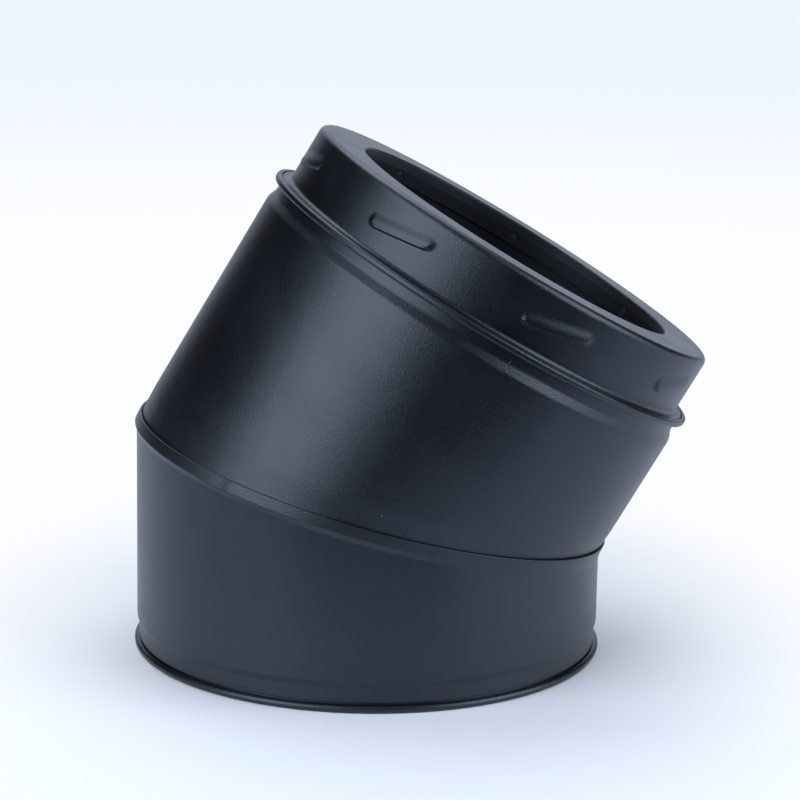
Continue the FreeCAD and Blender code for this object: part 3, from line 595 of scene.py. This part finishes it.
def upper_casing(sizes, coupler):
    """Upper gore: end tucked in the rim, wall, drawn-in neck and the hem folded over the coupler's flange."""
    wall = sizes.wall
    radius = sizes.radius
    hem_top, hem_low, neck_low, step_low = hem_levels(sizes, coupler)
    neck = radius - sizes.neck_depth
    fold = sizes.hem_fold
    tuck = 0.35 * MM
    tuck_low = 5.0 * MM
    tuck_top = 14.0 * MM
    points = rounded([
        (radius - tuck, 0.0),
        (radius - tuck, tuck_low, 30 * MM),
        (radius, tuck_top, 60 * MM),
        (radius, step_low, sizes.step_round),
        (neck, neck_low, sizes.step_round),
        (neck, hem_low, 0.4 * MM),
        (HEM_RADIUS, hem_low, fold),
        (HEM_RADIUS, hem_top, fold),
        (HEM_RADIUS - sizes.hem_lap, hem_top, 0.3 * MM),
        (HEM_RADIUS - sizes.hem_lap, hem_top - wall, 0.1 * MM),
        (HEM_RADIUS - wall, hem_top - wall, fold - wall),
        (HEM_RADIUS - wall, hem_low + wall, fold - wall),
        (neck - wall, hem_low + wall, 1.2 * MM),
        (neck - wall, neck_low),
        (radius - wall, step_low),
        (radius - wall, tuck_top),
        (radius - tuck - wall, tuck_low),
        (radius - tuck - wall, 0.0),
    ])
    bm = spun(spaced(points, lambda middle: 5 * MM))
    lean_above(bm, step_low - 4 * MM)
    finished(bm, "upper_casing", finish("casing"), ["outer_casing_upper"])


def seam_weld(name, node, bearing, low, high, surface, sizes, place, nib=0.0):
    """A thin weld bead up a casing wall; surface(height, bearing) is a point of the wall's outside. A nib of
    weld stands at the height nib."""
    edge_sink = 0.04 * MM
    nib_rise = 0.22 * MM
    nib_reach = 0.7 * MM
    thickness = 0.3 * MM
    bm = bmesh.new()
    bmesh.ops.create_grid(bm, x_segments=4, y_segments=240, size=0.5)
    for vertex in bm.verts:
        along = vertex.co.y + 0.5
        side = vertex.co.x * 2
        ripple = 1 + 0.12 * math.sin(along * 190) + 0.1 * math.sin(along * 67 + 1)
        crown = sizes.seam_rise * ripple * (1 - side * side) - edge_sink * (side * side)
        height = low + (high - low) * along
        crown += nib_rise * (1 - side * side) * math.exp(-((height - nib) / nib_reach) ** 2)
        turn_by = bearing + side * sizes.seam_width * ripple / 2 / sizes.radius
        spot = surface(height, turn_by)
        outward = Vector((spot.x, spot.y, 0)).normalized()
        vertex.co = spot + outward * crown
    bmesh.ops.solidify(bm, geom=bm.faces[:], thickness=thickness)
    bmesh.ops.recalc_face_normals(bm, faces=bm.faces)
    bmesh.ops.transform(bm, matrix=place, verts=bm.verts)
    finished(bm, name, finish("casing"), [node], sharp=60.0)


def collar_levels(sizes):
    """Height of the ramps' middle on the upper leg, and how far apart the coupler's rings lie at a place."""
    ramp = LEGS.upper - sizes.ramp_set_back
    half = sizes.ramp_width / 2
    steep = ramp - half
    at_steep_side = 0.17 * MM
    at_ramp = 0.42 * MM
    at_weld = 0.5 * MM
    on_collar = 1.2 * MM
    elsewhere = 3 * MM

    def gap(place):
        if place.x < sizes.collar_radius - sizes.wall / 2:
            beside = abs(place.y - LEGS.upper + sizes.weld_set_back) < sizes.weld_radius + 1 * MM
            return at_weld if beside and place.x < MOUTH_RADIUS + 0.4 * MM else elsewhere
        if steep - 1.0 * MM < place.y < steep + 1.4 * MM:
            return at_steep_side
        return at_ramp if steep < place.y < ramp + half + 1.2 * MM else on_collar

    return ramp, gap


def ramp_rise(sizes, along, across, steep_side):
    """Height of one ramp: it climbs from its soft side to its steep side; of its round ends one is soft."""
    lead = sizes.ramp_slope
    forward = along * math.cos(lead) + across * math.sin(lead)
    sideways = across * math.cos(lead) - along * math.sin(lead)
    straight = (sizes.ramp_length - sizes.ramp_width) / 2
    inside = sizes.ramp_width / 2 - math.hypot(max(abs(forward) - straight, 0.0), sideways)
    climb = smoothstep(0.5, -0.2, sideways * steep_side / sizes.ramp_width)
    soft_end = smoothstep(straight - 2 * MM, straight + 3 * MM, forward)
    return sizes.ramp_rise * climb * smoothstep(0.0, 0.7 * MM + 3 * MM * soft_end, inside)


def ramp_lift(sizes, along, pitch):
    """How far a ring is shifted along the axis to run beside the ramps' slanted edges."""
    climb = math.tan(sizes.ramp_slope)
    reach = sizes.ramp_length / 2 + 1 * MM
    if abs(along) <= reach:
        return climb * along
    back = (abs(along) - reach) / (pitch / 2 - reach)
    return math.copysign(climb * reach * math.cos(back * math.pi / 2), along)


def add_ramps(sizes, chosen, centre, steep_side, outward, fade):
    """Raise the ramps on the chosen vertices of an upright coupler. The rings beside a ramp slant with it;
    fade is how far that reaches below and above."""
    for vertex in chosen:
        radius = vertex.co.xy.length
        along = past_nearest(vertex.co, sizes.ramp_bearing, sizes.ramp_count) * radius
        ring = vertex.co.z - centre
        over = abs(ring) - sizes.ramp_width / 2 - 0.6 * MM
        follow = min(1.0, max(0.0, 1 - over / (fade[0] if ring < 0 else fade[1])))
        vertex.co.z += ramp_lift(sizes, along, math.tau / sizes.ramp_count * radius) * follow
        rise = ramp_rise(sizes, along, vertex.co.z - centre, steep_side) * outward
        vertex.co.xy *= (radius + rise) / radius


def male_coupler(sizes, casing):
    """Male coupler: flange, collar with its ramps, end face and the lip turned into the liner."""
    wall = sizes.wall
    hem_top, hem_low = hem_levels(casing, sizes)[:2]
    flange_low = hem_low + casing.wall
    flange = HEM_RADIUS - casing.hem_thickness / 2 - PLAY
    top = LEGS.upper
    collar = sizes.collar_radius
    ramp, gap = collar_levels(sizes)
    flange_top = hem_top - 0.05 * MM
    flare_low = top - sizes.weld_set_back + sizes.weld_radius
    flange_edge = HEM_RADIUS - casing.hem_lap - casing.hem_groove
    points = rounded([
        (flange, flange_low),
        (flange, flange_low + wall),
        (flange_edge, flange_low + wall, 0.1 * MM),
        (flange_edge, flange_top, 0.4 * MM),
        (collar, flange_top, sizes.flange_round),
        (collar, top, sizes.collar_round),
        (MOUTH_RADIUS + sizes.mouth_flare, top, sizes.mouth_round),
        (MOUTH_RADIUS, flare_low, 4 * MM),
        (MOUTH_RADIUS, top - sizes.lip_depth, 0.2 * MM),
        (MOUTH_RADIUS + wall, top - sizes.lip_depth, 0.2 * MM),
        (MOUTH_RADIUS + wall, flare_low, 4 * MM),
        (MOUTH_RADIUS + wall + sizes.mouth_flare, top - wall, 0.3 * MM),
        (collar - wall, top - wall, sizes.collar_round - wall),
        (collar - wall, flange_low, 1.5 * MM),
    ])
    bm = spun(spaced(points, gap), doublings=5)
    side = [vertex for vertex in bm.verts
            if collar - wall / 2 < vertex.co.xy.length < collar + 0.1 * MM and vertex.co.z > hem_low + 4 * MM
            and vertex.co.z < top - 1.2 * MM]
    add_ramps(sizes, side, ramp, 1, 1, (5 * MM, 5.4 * MM))
    dimple_welds(bm, sizes, top - sizes.weld_set_back)
    # The lip's inside faces take the liner finish: its dimmed gloss is painted shade inside the mouth.
    for face in bm.faces:
        middle = face.calc_center_median()
        inside = middle.xy.length < MOUTH_RADIUS + sizes.mouth_flare + 0.4 * MM and middle.z < top - 0.4 * MM
        face.material_index = int(inside)
    bmesh.ops.transform(bm, matrix=LEGS.place, verts=bm.verts)
    finished(bm, "male_coupler_sheet", finish("coupler"), ["male_coupler"], sharp=50.0,
             lining=finish("liner"))


def dimple_welds(bm, sizes, height):
    """Sink a shallow round dimple in the lip at each plug weld."""
    depth = 0.2 * MM
    reach = 3.5 * MM
    for vertex in bm.verts:
        radius = vertex.co.xy.length
        if abs(vertex.co.z - height) > reach or radius > MOUTH_RADIUS + depth:
            continue
        along = past_nearest(vertex.co, sizes.weld_bearing, sizes.weld_count) * radius
        away = math.hypot(along, vertex.co.z - height) / sizes.weld_radius
        sunk = depth * (1 - smoothstep(0.7, 1.25, away))
        vertex.co.xy *= (radius + sunk) / radius


def female_coupler(sizes, casing):
    """Female coupler: doubled flange, socket wall with its ramps, web and the sleeve round the liner."""
    wall = sizes.wall
    flange = FOOT_RADIUS - casing.foot_thickness / 2 - PLAY
    flange_top = casing.foot_thickness - casing.wall - PLAY
    socket = sizes.socket_radius
    web = sizes.socket_depth
    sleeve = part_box("liner_upper")[1].y + PLAY
    ramp = web - sizes.ramp_set_back - sizes.ramp_width - 0.2 * MM
    points = rounded([
        (flange, casing.wall),
        (flange, flange_top),
        (socket + wall, flange_top, 0.6 * MM),
        (socket + wall, web + wall, sizes.socket_round + wall),
        (sleeve + wall, web + wall, sizes.sleeve_round - wall),
        (sleeve + wall, SLEEVE_TOP),
        (sleeve, SLEEVE_TOP),
        (sleeve, web, sizes.sleeve_round),
        (socket, web, sizes.socket_round),
        (socket, casing.wall, 0.5 * MM),
    ])

    def gap(place):
        if abs(place.x - socket) < 0.3 * MM and place.y < ramp + 5 * MM:
            return 0.3 * MM
        return 3 * MM

    bm = spun(spaced(points, gap), doublings=5)
    side = [vertex for vertex in bm.verts if abs(vertex.co.xy.length - socket) < 0.3 * MM
            and casing.wall + 0.6 * MM < vertex.co.z < web - 3 * MM]
    add_ramps(sizes, side, ramp, -1, -1, (4.2 * MM, 8 * MM))
    finished(bm, "female_coupler_sheet", finish("coupler"), ["female_coupler"], sharp=50.0)


def lower_liner(sizes, coupler):
    """Lower gore of the liner: spigot, taper, wall and its lapped rim at the mitre."""
    wall = sizes.wall
    outside = sizes.bore + wall
    taper_low = coupler.socket_depth + sizes.taper_start
    taper_high = taper_low + sizes.taper_length
    rim = outside + sizes.rim_rise
    rim_top = LEGS.lower + 4.1 * MM
    slope_low = LEGS.lower - 3.3 * MM
    slope_top = LEGS.lower - 1.2 * MM
    edge_round = 0.15 * MM
    slope_round = 1 * MM
    taper_round = 2 * MM
    points = rounded([
        (SPIGOT_RADIUS, SPIGOT_LOW, edge_round),
        (SPIGOT_RADIUS, taper_low, taper_round),
        (outside, taper_high, taper_round),
        (outside, slope_low, slope_round),
        (rim, slope_top, slope_round),
        (rim, rim_top),
        (rim - wall, rim_top),
        (rim - wall, slope_top, slope_round),
        (sizes.bore, slope_low, slope_round),
        (sizes.bore, taper_high, taper_round),
        (SPIGOT_RADIUS - wall, taper_low, taper_round),
        (SPIGOT_RADIUS - wall, SPIGOT_LOW, edge_round),
    ])
    bm = spun(spaced(points, lambda middle: 5 * MM))
    lean_below(bm, taper_high + 2 * MM)
    finished(bm, "lower_liner_sheet", finish("liner"), ["liner_lower"])


def upper_liner(sizes):
    """Upper gore of the liner: a plain tube from the mitre to just below the end face."""
    wall = sizes.wall
    top = LEGS.upper - sizes.top_gap
    points = rounded([
        (sizes.bore, 0.0),
        (sizes.bore + wall, 0.0),
        (sizes.bore + wall, top, 0.15 * MM),
        (sizes.bore, top, 0.15 * MM),
    ])
    bm = spun(spaced(points, lambda middle: 5 * MM))
    lean_above(bm, top - 12 * MM)
    finished(bm, "upper_liner_sheet", finish("liner"), ["liner_upper"])


def mouth_weld_buttons(sizes):
    """Plug welds that show in the lip: slightly domed, uneven buttons in their dimples."""
    fill = 0.95
    flatness = 0.1
    seat_radius = MOUTH_RADIUS + 0.32 * MM
    bm = bmesh.new()
    height = LEGS.upper - sizes.weld_set_back
    for number in range(sizes.weld_count):
        bearing = sizes.weld_bearing + math.tau * number / sizes.weld_count
        outward = Matrix.Rotation(bearing, 4, "Z") @ Matrix.Rotation(math.pi / 2, 4, "Y")
        seat = Matrix.Translation(Matrix.Rotation(bearing, 3, "Z") @ Vector((seat_radius, 0, 0)))
        sphere = bmesh.ops.create_uvsphere(bm, u_segments=32, v_segments=16, radius=sizes.weld_radius)
        button = sphere["verts"]
        for vertex in button:
            swell = 1 + 0.06 * math.sin(3 * math.atan2(vertex.co.y, vertex.co.x) + number)
            vertex.co.xy = vertex.co.xy * swell * fill
            vertex.co.z *= flatness
        bmesh.ops.transform(bm, matrix=Matrix.Translation((0, 0, height)) @ seat @ outward, verts=button)
    bmesh.ops.transform(bm, matrix=LEGS.place, verts=bm.verts)
    finished(bm, "mouth_weld_buttons", finish("weld"), ["mouth_welds"])


# --- studio ------------------------------------------------------------------------------------------------

def floor_material(colours, table_edge):
    """Pale floor that keeps the elbow's shadow in front and fades to the backdrop's white further out; the
    fade is a glow, centred a little in front of the elbow and stretched sideways, that paints light over the
    shadow beside and behind it.
    """
    material, graph, shader, bump = new_material("Studio floor")
    tree = material.node_tree
    place = graph.add("ShaderNodeTexCoord").outputs["Object"]
    mottle = graph.noise(place, 7.0, detail=3.0)
    grain = graph.noise(place, 900.0, detail=2.0)
    tone = graph.blend(graph.ramp(mottle, 0.3, 0.7, 0.0, 0.04), (*colours.floor, 1), (*colours.backdrop, 1))
    tree.links.new(tone, shader.inputs["Base Color"])
    shader.inputs["Roughness"].default_value = 0.9
    shader.inputs["Specular IOR Level"].default_value = 0.1
    tree.links.new(graph.math("MULTIPLY", grain, 0.02 * MM), bump.inputs["Height"])
    away = graph.add("ShaderNodeVectorMath", {0: place}, operation="LENGTH").outputs["Value"]
    # Painted light: the glow's ellipse is stretched sideways and centred in front, so it covers the elbow's
    # shadow at the sides and behind.
    painted_light_shape = {0: place, 1: (1.75, 1.0, 1.0), 2: (-0.02, 0.05, 0.0)}
    beside = graph.add("ShaderNodeVectorMath", painted_light_shape, operation="MULTIPLY_ADD")
    beside = graph.add("ShaderNodeVectorMath", {0: beside.outputs[0]}, operation="LENGTH").outputs["Value"]
    ahead = graph.add("ShaderNodeSeparateXYZ", {0: place}).outputs["Y"]
    camera, mirrored = graph.rays()
    seen = graph.math("MAXIMUM", camera, mirrored)
    fade = graph.math("MULTIPLY", seen, graph.ramp(beside, 0.15, 0.42))
    table = graph.ramp(ahead, -table_edge - 0.1, -table_edge + 0.05)
    level = graph.math("MAXIMUM", table, graph.math("SUBTRACT", 1.0, mirrored))
    sweep = graph.blend(graph.ramp(away, 0.8, 2.4), (*colours.backdrop, 1), (*colours.far_backdrop, 1))
    sweep = graph.blend(mirrored, sweep, (*colours.mirrored, 1))
    glow = graph.add("ShaderNodeEmission", {"Color": sweep, "Strength": level})
    mixed = graph.add("ShaderNodeMixShader", {0: fade, 1: shader.outputs[0], 2: glow.outputs[0]})
    tree.links.new(mixed.outputs[0], tree.nodes["Material Output"].inputs["Surface"])
    return material


def make_floor(colours, table_edge):
    """A wide round floor at the foot of the elbow."""
    bm = bmesh.new()
    bmesh.ops.create_circle(bm, cap_ends=True, segments=96, radius=12.0)
    mesh = bpy.data.meshes.new("studio_floor")
    bm.to_mesh(mesh)
    bm.free()
    mesh.materials.append(floor_material(colours, table_edge))
    floor = bpy.data.objects.new("studio_floor", mesh)
    floor.location.z = CAD_BOX[0].z
    bpy.context.scene.collection.objects.link(floor)


def make_world(studio, colours):
    """White backdrop for what looks at it, a dimmer room on the camera's side and a plain even light."""
    world = bpy.data.worlds.new("Studio")
    world.use_nodes = True
    bpy.context.scene.world = world
    tree = world.node_tree
    tree.nodes.clear()
    graph = Graph(tree)
    direction = graph.add("ShaderNodeSeparateXYZ",
                          {0: graph.add("ShaderNodeTexCoord").outputs["Generated"]}).outputs
    level = graph.math("SQRT", graph.math("SUBTRACT", 1.0, graph.math("POWER", direction["Z"], 2.0)))
    back = graph.math("ADD", direction["Y"], graph.math("MULTIPLY", direction["X"], 0.06))
    behind = graph.ramp(graph.math("DIVIDE", back, level), 0.87, 0.94)
    above = graph.ramp(direction["Z"], 0.75, 0.95, 0.0, 0.5)
    room = graph.math("MAXIMUM", behind, above)
    camera, mirrored = graph.rays()
    even = graph.add("ShaderNodeBackground", {"Color": (1, 1, 1, 1), "Strength": studio.world_level})
    seen = graph.add("ShaderNodeBackground", {"Color": (*colours.backdrop, 1), "Strength": 1.0})
    reflected = graph.add("ShaderNodeBackground", {"Color": (*colours.mirrored, 1), "Strength": room})
    first = graph.add("ShaderNodeMixShader", {0: mirrored, 1: even.outputs[0], 2: reflected.outputs[0]})
    both = graph.add("ShaderNodeMixShader", {0: camera, 1: first.outputs[0], 2: seen.outputs[0]})
    out = graph.add("ShaderNodeOutputWorld")
    tree.links.new(both.outputs[0], out.inputs["Surface"])


def towards(azimuth, elevation):
    """Unit vector at a bearing from straight in front and a height above the horizon."""
    return Vector((math.sin(azimuth) * math.cos(elevation), -math.cos(azimuth) * math.cos(elevation),
                   math.sin(elevation)))


def softbox(name, azimuth, elevation, spread, rise, level, tint):
    """An area lamp turned to the elbow; spread and rise are the angles it fills, seen from there."""
    data = bpy.data.lights.new(name, "AREA")
    data.shape = "RECTANGLE"
    data.size = 2 * SOFTBOX_DISTANCE * math.tan(spread / 2)
    data.size_y = 2 * SOFTBOX_DISTANCE * math.tan(rise / 2)
    data.energy = level * math.pi * data.size * data.size_y
    data.color = tint
    lamp = bpy.data.objects.new(name, data)
    away = towards(azimuth, elevation)
    aim = Vector((0.02, 0.0, 0.1))
    lamp.location = aim + away * SOFTBOX_DISTANCE
    lamp.rotation_euler = away.to_track_quat("Z", "Y").to_euler()
    lamp.visible_camera = False
    bpy.context.scene.collection.objects.link(lamp)


def make_camera(studio):
    """The camera at its bearing, height and roll."""
    data = bpy.data.cameras.new("Studio camera")
    data.lens = studio.lens
    data.sensor_width = 36.0
    data.clip_end = 60.0
    camera = bpy.data.objects.new("Studio camera", data)
    away = towards(studio.azimuth, studio.elevation)
    camera.location = Vector(studio.aim) + away * studio.distance
    facing = (-away).to_track_quat("-Z", "Y") @ Quaternion((0, 0, 1), studio.roll)
    camera.rotation_euler = facing.to_euler()
    bpy.context.scene.collection.objects.link(camera)
    bpy.context.scene.camera = camera


# --- operators and panel -----------------------------------------------------------------------------------

class FLUE_OT_casing(bpy.types.Operator):
    """Model both casing gores"""

    bl_idname = "flue.casing"
    bl_label = "Casing gores"

    def execute(self, context):
        scene = context.scene
        lower_casing(scene.flue_casing)
        upper_casing(scene.flue_casing, scene.flue_coupler)
        return {"FINISHED"}


class FLUE_OT_seams(bpy.types.Operator):
    """Lay the weld beads along the casing's seams"""

    bl_idname = "flue.seams"
    bl_label = "Casing seams"

    def execute(self, context):
        sizes = context.scene.flue_casing
        hem_low, neck_low, step_low = hem_levels(sizes, context.scene.flue_coupler)[1:]
        radius = sizes.radius
        foot = sizes.foot_thickness + sizes.foot_neck_length + sizes.foot_step
        clear = 0.5 * MM

        def upper_wall(height, bearing):
            drawn_in = radius - sizes.neck_depth * smoothstep(step_low, neck_low, height)
            x, y = drawn_in * math.cos(bearing), drawn_in * math.sin(bearing)
            lean = LEGS.lean * smoothstep(step_low - 4 * MM, ABOVE_MITRE, height)
            return Vector((x, y, height + x * lean))

        def lower_wall(height, bearing):
            x, y = radius * math.cos(bearing), radius * math.sin(bearing)
            lean = LEGS.lean * smoothstep(foot + 4 * MM, LEGS.lower - BELOW_MITRE, height)
            return Vector((x, y, height - x * lean))

        seam_weld("upper_seam_weld", "casing_seam_upper", sizes.upper_seam, sizes.rim_lap + clear,
                  hem_low, upper_wall, sizes, LEGS.place, nib=neck_low)
        seam_weld("lower_seam_weld", "casing_seam_lower", sizes.lower_seam, foot + clear,
                  LEGS.lower - sizes.shoulder_top - sizes.shoulder_width, lower_wall, sizes, Matrix())
        return {"FINISHED"}


class FLUE_OT_couplers(bpy.types.Operator):
    """Model the male and female twist-lock couplers"""

    bl_idname = "flue.couplers"
    bl_label = "Couplers"

    def execute(self, context):
        scene = context.scene
        male_coupler(scene.flue_coupler, scene.flue_casing)
        female_coupler(scene.flue_coupler, scene.flue_casing)
        return {"FINISHED"}


class FLUE_OT_liners(bpy.types.Operator):
    """Model both gores of the liner"""

    bl_idname = "flue.liners"
    bl_label = "Liner gores"

    def execute(self, context):
        scene = context.scene
        lower_liner(scene.flue_liner, scene.flue_coupler)
        upper_liner(scene.flue_liner)
        return {"FINISHED"}


class FLUE_OT_welds(bpy.types.Operator):
    """Model the plug welds in the lip and coat the ones on the sleeve"""

    bl_idname = "flue.welds"
    bl_label = "Plug welds"

    def execute(self, context):
        mouth_weld_buttons(context.scene.flue_coupler)
        carry("foot_welds", "weld")
        return {"FINISHED"}


class FLUE_OT_insulation(bpy.types.Operator):
    """Give the mineral wool its finish"""

    bl_idname = "flue.insulation"
    bl_label = "Insulation"

    def execute(self, context):
        carry("insulation_lower", "wool")
        carry("insulation_upper", "wool")
        return {"FINISHED"}


class FLUE_OT_studio(bpy.types.Operator):
    """Set up the floor, the light and the camera"""

    bl_idname = "flue.studio"
    bl_label = "Studio"

    def execute(self, context):
        scene = context.scene
        studio = scene.flue_studio
        make_floor(scene.flue_colours, studio.table_edge)
        make_world(studio, scene.flue_colours)
        for name, azimuth, elevation, spread, rise, level in (
            ("Key softbox", -50, 24, 46, 52, studio.key_level),
            ("Side softbox", 64, 18, 48, 54, studio.side_level),
            ("Top softbox", 180, 66, 50, 40, studio.top_level),
        ):
            angles = (math.radians(angle) for angle in (azimuth, elevation, spread, rise))
            softbox(name, *angles, level, scene.flue_colours.lamp)
        make_camera(studio)
        scene.view_settings.view_transform = "Standard"
        return {"FINISHED"}


def carry(node, material):
    """Give a CAD node that shows as it is one of the finishes."""
    mesh = frame["nodes"][node].data
    mesh.materials.clear()
    mesh.materials.append(finish(material))


class FLUE_PT_panel(bpy.types.Panel):
    """Lists the operators in the order they are run."""

    bl_idname = "FLUE_PT_panel"
    bl_label = "Flue elbow"
    bl_space_type = "VIEW_3D"
    bl_region_type = "UI"
    bl_category = "Flue Elbow"

    def draw(self, context):
        for operator in OPERATORS:
            self.layout.operator(operator.bl_idname)


OPERATORS = (FLUE_OT_casing, FLUE_OT_seams, FLUE_OT_couplers, FLUE_OT_liners, FLUE_OT_welds,
             FLUE_OT_insulation, FLUE_OT_studio)
SETTINGS = (("flue_casing", CasingSizes), ("flue_coupler", CouplerSizes), ("flue_liner", LinerSizes),
            ("flue_colours", FinishColours), ("flue_studio", StudioSettings))


def register():
    """Register the settings, the operators and the panel."""
    for name, group in SETTINGS:
        bpy.utils.register_class(group)
        setattr(bpy.types.Scene, name, bpy.props.PointerProperty(type=group))
    for item in (*OPERATORS, FLUE_PT_panel):
        bpy.utils.register_class(item)


def unregister():
    """Undo register()."""
    for item in reversed((*OPERATORS, FLUE_PT_panel)):
        bpy.utils.unregister_class(item)
    for name, group in reversed(SETTINGS):
        delattr(bpy.types.Scene, name)
        bpy.utils.unregister_class(group)


def main():
    """Register the settings and the operators, then build every piece in order."""
    register()
    bpy.ops.flue.casing()
    bpy.ops.flue.seams()
    bpy.ops.flue.couplers()
    bpy.ops.flue.liners()
    bpy.ops.flue.welds()
    bpy.ops.flue.insulation()
    bpy.ops.flue.studio()


if __name__ == "__main__":
    main()
